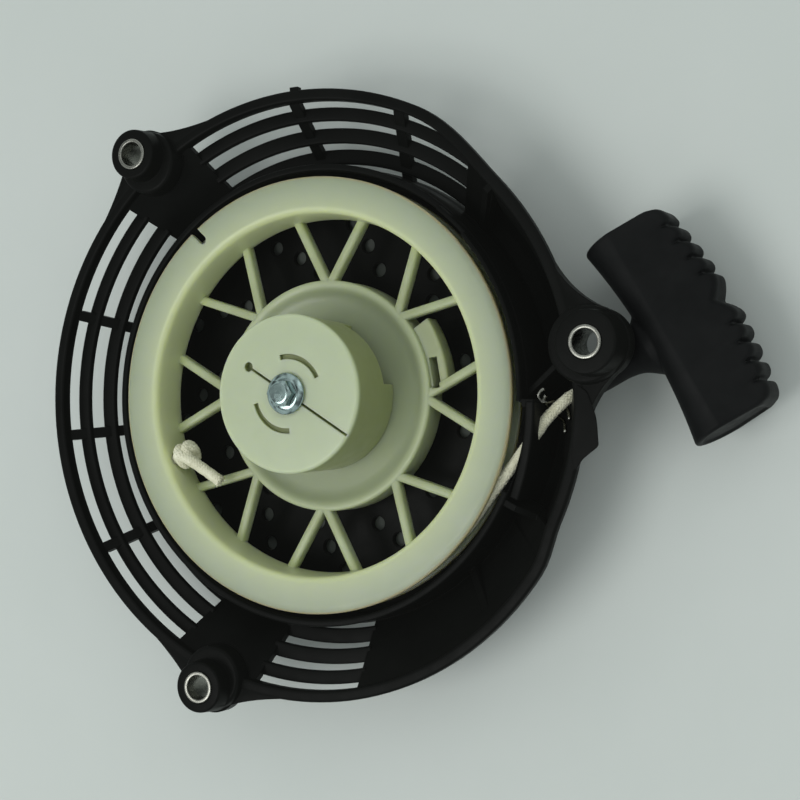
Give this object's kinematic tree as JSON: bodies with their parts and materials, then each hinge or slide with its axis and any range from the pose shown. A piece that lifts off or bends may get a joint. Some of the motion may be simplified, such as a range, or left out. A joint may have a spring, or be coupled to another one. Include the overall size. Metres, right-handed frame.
{
  "type": "recoil starter",
  "caption": "Rope-pull starter for a small engine: slotted black case with mounting ears, pale nylon rope reel with spoked hub and ratchet guide, cream rope and black T grip",
  "frame": {"origin": "on the reel's axis, in the outer resting face of the case's floor", "axes": "+Z along the reel's axis towards the engine, +X towards the side where the rope leaves, +Y towards the upper ear"},
  "size_m": [0.2536, 0.2085, 0.051],
  "materials": {
    "case_plastic": "satin moulded black",
    "grip_plastic": "fine-grained black",
    "nylon": "waxy pale green natural nylon",
    "rope": "braided cream polyester",
    "steel": "plain turned steel",
    "zinc_plate": "bright zinc plate",
    "spring_steel": "blued spring steel",
    "brass": "plain brass"
  },
  "bodies": {
    "case": {"case": "case_plastic", "bush_right": "steel", "bush_upper_left": "steel", "bush_lower_left": "steel", "post_insert": "brass", "rope_guide": "steel", "recoil_spring": "spring_steel", "thrust_washer": "steel", "guide_collar": "steel", "centre_bolt": "zinc_plate", "friction_spring": "spring_steel", "rope_run": "rope"},
    "reel": {"reel": "nylon", "rope_wound": "rope", "reel_knot": "rope", "pawl_spring_a": "spring_steel", "pawl_spring_b": "spring_steel"},
    "guide": {"ratchet_guide": "nylon"},
    "pawl_a": {"pawl_a": "steel"},
    "pawl_b": {"pawl_b": "steel"},
    "grip": {"grip": "grip_plastic", "grip_washer": "steel", "grip_knot": "rope"}
  },
  "joints": [
    {"name": "reel_spin", "type": "hinge", "parent": "case", "child": "reel", "pos_m": [0, 0, 0.025], "axis": [0, 0, 1], "range_deg": [0, 1045]},
    {"name": "grip_pull", "type": "slide", "parent": "case", "child": "grip", "axis": [0.8572, 0.515, 0], "range_m": [0, 1.2]},
    {"name": "guide_turn", "type": "hinge", "parent": "reel", "child": "guide", "pos_m": [0, 0, 0.03], "axis": [0, 0, 1], "range_deg": [-30, 0]},
    {"name": "pawl_a_swing", "type": "hinge", "parent": "reel", "child": "pawl_a", "pos_m": [0.019, 0, 0.021], "axis": [0, 0, -1], "range_deg": [0, 45]},
    {"name": "pawl_b_swing", "type": "hinge", "parent": "reel", "child": "pawl_b", "pos_m": [-0.019, 0, 0.021], "axis": [0, 0, -1], "range_deg": [0, 45]}
  ],
  "couplings": [
    {"joint": "grip_pull", "follows": "reel_spin", "m_per_rad": 0.0657},
    {"joint": "pawl_a_swing", "follows": "guide_turn", "ratio": -1.4},
    {"joint": "pawl_b_swing", "follows": "guide_turn", "ratio": -1.4}
  ]
}
